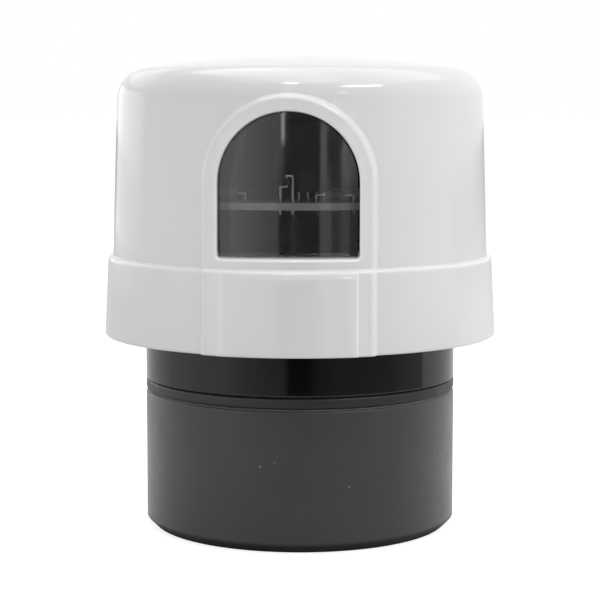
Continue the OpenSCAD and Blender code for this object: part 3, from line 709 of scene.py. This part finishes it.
def lens_rails(shell):
    """Two upright rails with an L section that hold the lens against the wall."""
    for side in (-1, 1):
        rings = []
        for z in (Z_LEDGE + RAIL_LIFT, Z_ARCH):
            wall_r = dome_r(z) - COVER_WALL / math.cos(DOME_DRAFT)
            ring = [[side * x, -math.sqrt((wall_r - inset) ** 2 - x ** 2), z] for x, inset in RAIL_SECTION]
            rings.append(ring[::side])
        prism(shell, *rings)


def paint_edge_highlights(cover):
    """Marks the cover's moulded edges, from 0 to 1, where a painted highlight makes them lighter."""
    x, y, z = np.array([vertex.co for vertex in cover.data.vertices]).T / MM
    front = y < 0
    edges = [
        (FRAME_PAINTED_HIGHLIGHT, front, arch_distance(x, z, FRAME_HALF)[0] - (FRAME_D[0] + FRAME_D[-1]) / 2),
        (LIP_PAINTED_HIGHLIGHT, front, window_distance(x, z)[0] - LIP_W / 2),
        (PANEL_PAINTED_HIGHLIGHT, front & (z < Z_LEDGE), np.abs(x) - PANEL_HALF + PANEL_RAMP / 2),
        (LEDGE_PAINTED_HIGHLIGHT, True, z - Z_LEDGE + LEDGE_ROUND / 2),
    ]
    # Painted highlight: a lighter line along each moulded edge, strongest on the edge itself.
    marks = [amount * on * np.clip(1 - np.abs(away) / half, 0, 1) for (amount, half), on, away in edges]
    painted_highlight = cover.data.attributes.new("painted_highlight", "FLOAT", "POINT")
    painted_highlight.data.foreach_set("value", np.max(marks, axis=0))


def make_cover():
    """The moulded cover as one shell: outside, cavity, the window's wall, ribs and rails."""
    shell = Shell()
    outside = Skin(outer_profile(), front_relief)
    z_frame = Z_ARCH + FRAME_HALF
    lip = wrap(shell, outside, Z_LEDGE + OUTSIDE_START, z_frame + OUTSIDE_OVER, raised_front, off_frame,
               FRAME_HALF + FRAME_D[-1])
    cavity = Skin(inner_profile(), no_relief)
    shell.inward = True
    hole = wrap(shell, cavity, Z_LEDGE + CAVITY_START, z_frame + CAVITY_OVER, plain_front, off_hole,
                WINDOW_HALF)
    shell.inward = False
    shell.strip(lip, hole, closed=True, smooth=False)
    skirt_ribs(shell)
    lens_rails(shell)
    cover = shell.build("cover_shell")
    paint_edge_highlights(cover)
    return cover


def make_seal():
    """The gasket's rounded bead, which closes the gap down to the receptacle's face."""
    z_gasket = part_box("gasket")[0].z / MM
    drop = z_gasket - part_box("receptacle_body")[1].z / MM - SEAL_CLEAR
    angles = np.linspace(0, 2 * math.pi, SEAL_STEPS, endpoint=False)
    out = np.column_stack([np.sin(angles), -np.cos(angles)])
    shell = Shell()
    rings = []
    for turn in np.linspace(math.pi, 0, SEAL_ARC_STEPS + 1):
        r = SEAL_R + SEAL_W / 2 * math.cos(turn)
        level = np.full(len(angles), z_gasket - drop * math.sin(turn))
        rings.append(shell.add(np.column_stack([r * out, level]), np.zeros((len(angles), 3))))
    for near, far in zip(rings, rings[1:] + rings[:1]):
        shell.strip(near, far, closed=True, smooth=False)
    return shell.build("gasket_bead")


# Materials


class Paint:
    """A material with short ways to add its nodes."""

    def __init__(self, name):
        self.material = bpy.data.materials.new(name)
        self.material.use_nodes = True
        self.tree = self.material.node_tree
        self.shader = self.tree.nodes["Principled BSDF"]
        self.place = self.node("ShaderNodeTexCoord").outputs["Object"]

    def node(self, kind, inputs=None, **settings):
        node = self.tree.nodes.new(kind)
        for name, value in settings.items():
            setattr(node, name, value)
        for name, value in (inputs or {}).items():
            self.put(node.inputs[name], value)
        return node

    def put(self, socket, value):
        if isinstance(value, bpy.types.NodeSocket):
            self.tree.links.new(value, socket)
        else:
            socket.default_value = value

    def set(self, **inputs):
        for name, value in inputs.items():
            self.put(self.shader.inputs[name.replace("_", " ").title().replace("Ior", "IOR")], value)

    def noise(self, scale, detail, stretch=(1, 1, 1)):
        """A noise from 0 to 1; stretch squeezes it along the axes."""
        where = self.node("ShaderNodeMapping", {"Vector": self.place, "Scale": stretch}).outputs["Vector"]
        noise = self.node("ShaderNodeTexNoise", {"Vector": where, "Scale": scale, "Detail": detail})
        return noise.outputs["Fac"]

    def span(self, value, low, high, start=0.3, end=0.7):
        """A value taken from start..end, where most of a noise lies if not given, to low..high."""
        ends = {"Value": value, "From Min": start, "From Max": end, "To Min": low, "To Max": high}
        return self.node("ShaderNodeMapRange", ends).outputs["Result"]

    def math(self, operation, a, b):
        node = self.node("ShaderNodeMath", operation=operation)
        self.put(node.inputs[0], a)
        self.put(node.inputs[1], b)
        return node.outputs["Value"]

    def mix(self, share, a, b):
        """Colour a taken to b. The node has its sockets for colours behind those for other kinds."""
        node = self.node("ShaderNodeMix", data_type="RGBA")
        for i, value in ((0, share), (6, a), (7, b)):
            self.put(node.inputs[i], value)
        return node.outputs[2]

    def bump(self, height, depth):
        bump = self.node("ShaderNodeBump", {"Height": height, "Distance": depth, "Strength": 1.0})
        self.put(self.shader.inputs["Normal"], bump.outputs["Normal"])


def shade(colour, level):
    """A colour made lighter or darker, with full alpha."""
    return (*(min(c * level, 1) for c in colour), 1)


def surface(name, colour, roughness, vary, patch, grain, depth, stretch=(1, 1, 1), **inputs):
    """A finish with cloudy colour, uneven gloss and a fine grain.

    vary is the share by which the colour varies, patch and grain are scales of noise per metre, and depth
    is the grain's depth in metres.
    """
    paint = Paint(name)
    cloud = paint.span(paint.noise(patch, 4, stretch), 0, 1)
    colours = paint.mix(cloud, shade(colour, 1 - vary), shade(colour, 1 + vary))
    uneven = paint.noise(patch * GLOSS_FINER, 5, stretch)
    gloss = paint.span(uneven, roughness * (1 - GLOSS_VARY), roughness * (1 + GLOSS_VARY))
    paint.set(base_color=colours, roughness=gloss, **inputs)
    paint.bump(paint.noise(grain, 2, stretch), depth)
    return paint, colours


def cover_with_painted_highlights():
    """Satin moulding, a shade lighter where painted highlights lie along its edges."""
    paint, colours = surface("cover_plastic", (0.64, 0.64, 0.635), 0.13, 0.012, 40, 900, 4e-6)
    painted_highlight = paint.node("ShaderNodeAttribute", attribute_name="painted_highlight").outputs["Fac"]
    # Painted highlight: the marked edges are taken towards a paler grey.
    paint.set(base_color=paint.mix(painted_highlight, colours, (0.8, 0.8, 0.795, 1)))
    return paint.material


def add_dust(paint):
    """Where a few pale specks of dust lie, as a share of the colour."""
    cells = paint.node("ShaderNodeTexVoronoi", {"Vector": paint.place, "Scale": DUST_CELLS})
    speck = paint.span(cells.outputs["Distance"], 1, 0, *DUST_RIM)
    chance = paint.node("ShaderNodeSeparateColor", {"Color": cells.outputs["Color"]}).outputs["Red"]
    rare = paint.math("GREATER_THAN", chance, DUST_BARE)
    return paint.math("MULTIPLY", paint.math("MULTIPLY", speck, rare), DUST_SHARE)


def add_painted_foot_shade(paint):
    """Where painted shade darkens the foot, from 0 to 1: low down and away from the axis."""
    x, y, z = paint.node("ShaderNodeSeparateXYZ", {"Vector": paint.place}).outputs
    low = paint.span(z, 1, 0, (FOOT_SHADE_HIGH - FOOT_SHADE_FADE) * MM, (FOOT_SHADE_HIGH + FOOT_SHADE_FADE) * MM)
    out_squared = paint.math("ADD", paint.math("MULTIPLY", x, x), paint.math("MULTIPLY", y, y))
    return paint.math("MULTIPLY", low, paint.math("GREATER_THAN", out_squared, (FOOT_SHADE_R * MM) ** 2))


def dusty_grey_with_painted_shade():
    """Matte moulding with a fine spark grain, a few specks of dust, and painted shade that darkens and
    dulls its foot.
    """
    paint, colours = surface("matte_grey", (0.025, 0.025, 0.0255), 0.44, 0.1, 90, 2600, 4e-5)
    dusty = paint.mix(add_dust(paint), colours, (0.55, 0.55, 0.55, 1))
    foot_shade = add_painted_foot_shade(paint)
    # Painted shade: the foot is taken to near black, and its gloss and sheen are cut there.
    paint.set(base_color=paint.mix(foot_shade, dusty, (0.016, 0.016, 0.016, 1)))
    paint.set(specular_ior_level=paint.span(foot_shade, 0.5, 0.2, 0, 1))
    paint.set(sheen_weight=paint.span(foot_shade, 0.6, 0, 0, 1), sheen_roughness=0.4)
    return paint.material


def laminate():
    """Circuit board: a pale laminate with a faint weave."""
    paint, colours = surface("board", (0.9, 0.88, 0.84), 0.45, 0.1, 60, 900, 1e-5)
    weave = []
    for axis in ("X", "Y"):
        threads = {"Vector": paint.place, "Scale": WEAVE_SCALE}
        weave.append(paint.node("ShaderNodeTexWave", threads, bands_direction=axis).outputs["Fac"])
    thread = paint.math("MULTIPLY", paint.math("MAXIMUM", *weave), WEAVE_SHARE)
    paint.set(base_color=paint.mix(thread, colours, (0.94, 0.93, 0.9, 1)))
    return paint.material


def smoked_lens():
    """Clear smoked plastic with a polished, very slightly uneven face."""
    paint = Paint("smoked_lens")
    haze = paint.span(paint.noise(60, 3), 0.35, 0.38)
    tint = paint.node("ShaderNodeCombineColor", {"Red": haze, "Green": haze, "Blue": haze})
    gloss = paint.span(paint.noise(25, 2), 0.0, 0.02)
    paint.set(base_color=tint.outputs["Color"], roughness=gloss, ior=1.49, transmission_weight=1.0)
    paint.bump(paint.noise(70, 1), 4e-6)
    return paint.material


def make_looks():
    """A material for every slot of the record. The finishes give what surface() takes after the name."""
    looks = {
        "cover_plastic": cover_with_painted_highlights(),
        "smoked_lens": smoked_lens(),
        "matte_grey": dusty_grey_with_painted_shade(),
        "board": laminate(),
    }
    plastics = {
        "gloss_black": ((0.003, 0.003, 0.003), 0.08, 0.1, 50, 700, 3e-6),
        "gasket_rubber": ((0.008, 0.008, 0.008), 0.42, 0.15, 150, 1800, 1.5e-5),
        "sensor_epoxy": ((0.02, 0.017, 0.016), 0.25, 0.15, 600, 1500, 4e-6),
        "component_black": ((0.02, 0.02, 0.02), 0.4, 0.12, 200, 3000, 1e-5),
        "film_grey": ((0.33, 0.31, 0.28), 0.35, 0.08, 150, 1500, 8e-6),
        "sleeve_dark": ((0.02, 0.021, 0.025), 0.22, 0.12, 200, 900, 6e-6),
        "varistor_coat": ((0.05, 0.06, 0.08), 0.3, 0.15, 300, 700, 3e-5),
        "resistor_grey": ((0.2, 0.23, 0.25), 0.5, 0.1, 400, 1500, 1e-5),
        "resistor_tan": ((0.38, 0.35, 0.3), 0.35, 0.1, 700, 2000, 1e-5),
        "diode_glass": ((0.17, 0.13, 0.11), 0.12, 0.15, 900, 1500, 3e-6),
        "wire_black": ((0.015, 0.015, 0.015), 0.4, 0.15, 300, 1200, 8e-6),
        "wire_red": ((0.09, 0.02, 0.016), 0.4, 0.15, 300, 1200, 8e-6),
        "wire_grey": ((0.26, 0.26, 0.25), 0.4, 0.1, 300, 1200, 8e-6),
    }
    metals = {
        "zinc_steel": ((0.6, 0.6, 0.6), 0.3, 0.1, 500, 2500, 8e-6, (1, 1, 1)),
        "tinned_wire": ((0.9, 0.9, 0.9), 0.2, 0.08, 700, 2500, 4e-6, (1, 1, 0.2)),
        "solder": ((0.88, 0.88, 0.88), 0.2, 0.12, 900, 2500, 1e-5, (1, 1, 1)),
        "blade_brass": ((0.7, 0.52, 0.22), 0.28, 0.1, 250, 1800, 8e-6, (1, 1, 0.15)),
        "contact_brass": ((0.65, 0.48, 0.22), 0.32, 0.12, 250, 1800, 8e-6, (1, 1, 0.15)),
    }
    for slot, finish in plastics.items():
        looks[slot] = surface(slot, *finish)[0].material
    for slot, finish in metals.items():
        looks[slot] = surface(slot, *finish, metallic=1.0)[0].material
    return looks


# Studio


def make_world():
    """Plain white all round, brighter to the eye and in reflections than as light on the object."""
    world = bpy.data.worlds.new("studio")
    bpy.context.scene.world = world
    world.use_nodes = True
    nodes = world.node_tree.nodes
    links = world.node_tree.links
    seen = add_seen(nodes, links, ("Is Glossy Ray", "Is Transmission Ray"))
    level = nodes.new("ShaderNodeMapRange")
    links.new(seen, level.inputs["Value"])
    level.inputs["To Min"].default_value = AMBIENT
    level.inputs["To Max"].default_value = 1.0
    nodes["Background"].inputs["Color"].default_value = (1, 1, 1, 1)
    links.new(level.outputs["Result"], nodes["Background"].inputs["Strength"])


def add_seen(nodes, links, others):
    """A value that is 1 for what is looked at straight, or by rays of the other named kinds."""
    path = nodes.new("ShaderNodeLightPath")
    total = path.outputs["Is Camera Ray"]
    for name in others:
        most = nodes.new("ShaderNodeMath")
        most.operation = "MAXIMUM"
        links.new(total, most.inputs[0])
        links.new(path.outputs[name], most.inputs[1])
        total = most.outputs["Value"]
    return total


def make_floor():
    """A wide pale floor that keeps the object's shadow."""
    half = FLOOR_HALF
    corners = [(-half, -half), (half, -half), (half, half), (-half, half)]
    floor = add_mesh("floor", [(*corner, FLOOR_LOW) for corner in corners], [list(range(len(corners)))])
    material = bpy.data.materials.new("floor")
    material.use_nodes = True
    nodes = material.node_tree.nodes
    links = material.node_tree.links
    nodes.remove(nodes["Principled BSDF"])
    plain = nodes.new("ShaderNodeBsdfDiffuse")
    plain.inputs["Color"].default_value = shade((1, 1, 1), FLOOR_PALE)
    paper = nodes.new("ShaderNodeBsdfDiffuse")
    paper.inputs["Color"].default_value = shade((1, 1, 1), FLOOR_SEEN)
    glow = nodes.new("ShaderNodeEmission")
    glow.inputs["Strength"].default_value = FLOOR_GLOW
    bright = nodes.new("ShaderNodeAddShader")
    links.new(paper.outputs[0], bright.inputs[0])
    links.new(glow.outputs[0], bright.inputs[1])
    mix = nodes.new("ShaderNodeMixShader")
    links.new(add_seen(nodes, links, ("Is Transmission Ray",)), mix.inputs[0])
    links.new(plain.outputs[0], mix.inputs[1])
    links.new(bright.outputs[0], mix.inputs[2])
    links.new(mix.outputs[0], nodes["Material Output"].inputs["Surface"])
    floor.data.materials.append(material)


def card_ramp(paint, share, stops):
    """Levels along the card, between the given angles."""
    ramp = paint.node("ShaderNodeValToRGB", {"Fac": share})
    elements = ramp.color_ramp.elements
    while len(elements) < len(stops):
        elements.new(0.5)
    for element, (degrees, level) in zip(elements, stops):
        element.position = (degrees - CARD_FROM) / (CARD_TO - CARD_FROM)
        element.color = (*[level / CARD_PEAK] * 3, 1)
    return ramp.outputs["Color"]


def make_card():
    """A low curved card in front, only seen in reflections: what the lens and the neck mirror."""
    ends = (math.radians(CARD_FROM), math.radians(CARD_TO))
    angles = np.linspace(*ends, CARD_STEPS + 1)
    points = []
    for z in (0, CARD_HIGH):
        points += [(CARD_R * math.sin(a), -CARD_R * math.cos(a), z) for a in angles]
    faces = [[i, i + 1, i + CARD_STEPS + 2, i + CARD_STEPS + 1] for i in range(CARD_STEPS)]
    card = add_mesh("card", points, faces)
    paint = Paint("card")
    x, y, z = paint.node("ShaderNodeSeparateXYZ", {"Vector": paint.place}).outputs
    azimuth = paint.math("ARCTAN2", x, paint.math("MULTIPLY", y, -1.0))
    share = paint.span(azimuth, 0, 1, *ends)
    level = card_ramp(paint, share, CARD_FOOT)
    for fade_from, fade_to, stops in CARD_ROWS:
        level = paint.mix(paint.span(z, 0, 1, fade_from, fade_to), level, card_ramp(paint, share, stops))
    glow = paint.node("ShaderNodeEmission", {"Color": level, "Strength": CARD_PEAK})
    paint.tree.nodes.remove(paint.shader)
    paint.put(paint.tree.nodes["Material Output"].inputs["Surface"], glow.outputs["Emission"])
    card.data.materials.append(paint.material)
    card.visible_camera = False
    card.visible_diffuse = False
    card.visible_transmission = False
    card.visible_shadow = False


def add_light(name, place, aim, power, size, size_y):
    """A flat lamp that faces the place it is aimed at."""
    light = bpy.data.lights.new(name, "AREA")
    light.shape = "RECTANGLE"
    light.size = size
    light.size_y = size_y
    light.energy = power
    lamp = bpy.data.objects.new(name, light)
    lamp.location = place
    lamp.rotation_euler = (Vector(aim) - Vector(place)).to_track_quat("-Z", "Y").to_euler()
    bpy.context.scene.collection.objects.link(lamp)
    return lamp


def make_camera():
    """The photograph's view."""
    lens = bpy.data.cameras.new("camera")
    lens.lens = CAMERA_LENS
    lens.sensor_width = CAMERA_SENSOR
    lens.clip_start = CAMERA_NEAR
    camera = bpy.data.objects.new("camera", lens)
    away = CAMERA_AWAY * MM
    camera.location = (away * math.sin(CAMERA_TURN), -away * math.cos(CAMERA_TURN), CAMERA_UP * MM)
    camera.rotation_euler = (math.pi / 2 - CAMERA_TILT, 0, CAMERA_TURN)
    bpy.context.scene.collection.objects.link(camera)
    bpy.context.scene.camera = camera


# The scene: the object, then the studio round it
cover = make_cover()
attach(cover, PHOTOCONTROL)
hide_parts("cover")

seal = make_seal()
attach(seal, PHOTOCONTROL)

looks = make_looks()
cover.data.materials.append(looks["cover_plastic"])
seal.data.materials.append(looks["gasket_rubber"])
for subpart in frame["record"]["subparts"]:
    node = frame["nodes"][subpart["node"]]
    for place in node.material_slots:
        place.material = looks[subpart["material_slot"]]

make_world()
make_floor()
make_card()
for light in LIGHTS:
    add_light(*light)
for fill in FILLS:
    add_light(*fill).visible_glossy = False
for spark in SPARKS:
    add_light(*spark).visible_diffuse = False
make_camera()
bpy.context.scene.view_settings.view_transform = "Standard"
